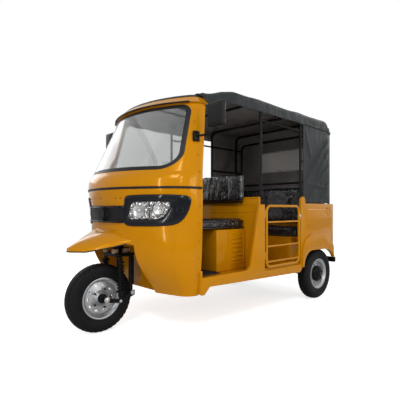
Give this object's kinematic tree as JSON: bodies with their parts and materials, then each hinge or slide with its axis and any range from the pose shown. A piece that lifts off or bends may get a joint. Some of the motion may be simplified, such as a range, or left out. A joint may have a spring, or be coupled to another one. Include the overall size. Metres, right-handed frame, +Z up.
{
  "type": "auto rickshaw",
  "caption": "Open-sided auto rickshaw: enclosed driver cab, steered front wheel on a leading-link fork, canvas canopy over the passenger bench, low side gates.",
  "frame": {"origin": "on the ground, midway across the vehicle and midway along its overall length", "axes": "+Z up, +Y rearward along the vehicle, +X to its left"},
  "size_m": [1.56, 2.5429, 1.7712],
  "materials": {
    "body_paint": "gloss",
    "black_metal": "satin",
    "black_plastic": "satin",
    "vinyl": "satin",
    "canvas": "matt",
    "clear_glass": "clear",
    "lamp_glass": "clear",
    "red_lens": "gloss",
    "rubber": "matt",
    "tyre_rubber": "matt",
    "wheel_silver": "satin",
    "bright_steel": "satin",
    "iron": "matt"
  },
  "bodies": {
    "vehicle": {"bench_backrest": "vinyl", "bench_base": "body_paint", "bench_cushion": "vinyl", "body_side_left": "body_paint", "body_side_right": "body_paint", "bumper": "black_metal", "cab_roof": "body_paint", "cab_shell": "body_paint", "canopy_cover": "canvas", "canopy_hoops": "black_metal", "canopy_rails": "black_metal", "chassis_cross_members": "black_metal", "chassis_rails": "black_metal", "cowl_strip": "black_plastic", "dashboard": "black_plastic", "drive_shaft": "black_metal", "driver_backrest": "vinyl", "driver_cushion": "vinyl", "engine_block": "iron", "engine_cover": "body_paint", "exhaust": "bright_steel", "floor_mat": "rubber", "floor_pan": "body_paint", "front_fender": "body_paint", "gate_hinges": "black_metal", "headlamps": "lamp_glass", "horn": "black_plastic", "lamp_bezels": "black_plastic", "leaf_springs": "black_metal", "mirrors": "black_plastic", "nose_grille": "black_plastic", "partition": "body_paint", "rear_axle": "black_metal", "rear_panel": "body_paint", "rear_window": "black_metal", "steering_head": "black_metal", "tail_lamps": "red_lens", "windscreen": "clear_glass", "windscreen_seal": "rubber"},
    "fork": {"fork_stem": "black_metal", "handlebar": "black_metal", "fork_links": "black_metal", "fork_shocks": "bright_steel"},
    "front_wheel": {"front_rim": "wheel_silver", "front_tyre": "tyre_rubber"},
    "rear_wheel_left": {"rear_left_rim": "wheel_silver", "rear_left_tyre": "tyre_rubber"},
    "rear_wheel_right": {"rear_right_rim": "wheel_silver", "rear_right_tyre": "tyre_rubber"},
    "gate_left": {"gate_left": "body_paint"},
    "gate_right": {"gate_right": "body_paint"}
  },
  "joints": [
    {"name": "steering", "type": "hinge", "parent": "vehicle", "child": "fork", "pos_m": [0, -0.8615, 0.6], "axis": [0, 0.342, 0.9397], "range_deg": [-38, 38]},
    {"name": "front_wheel_spin", "type": "hinge", "parent": "fork", "child": "front_wheel", "pos_m": [0, -1.0315, 0.24], "axis": [1, 0, 0], "continuous": true},
    {"name": "rear_wheel_left_spin", "type": "hinge", "parent": "vehicle", "child": "rear_wheel_left", "pos_m": [0.53, 0.9545, 0.24], "axis": [1, 0, 0], "continuous": true},
    {"name": "rear_wheel_right_spin", "type": "hinge", "parent": "vehicle", "child": "rear_wheel_right", "pos_m": [-0.53, 0.9545, 0.24], "axis": [1, 0, 0], "continuous": true},
    {"name": "gate_left_hinge", "type": "hinge", "parent": "vehicle", "child": "gate_left", "pos_m": [0.602, 0.0815, 0.6], "axis": [0, 0, -1], "range_deg": [0, 100]},
    {"name": "gate_right_hinge", "type": "hinge", "parent": "vehicle", "child": "gate_right", "pos_m": [-0.602, 0.0815, 0.6], "axis": [0, 0, 1], "range_deg": [0, 100]}
  ]
}
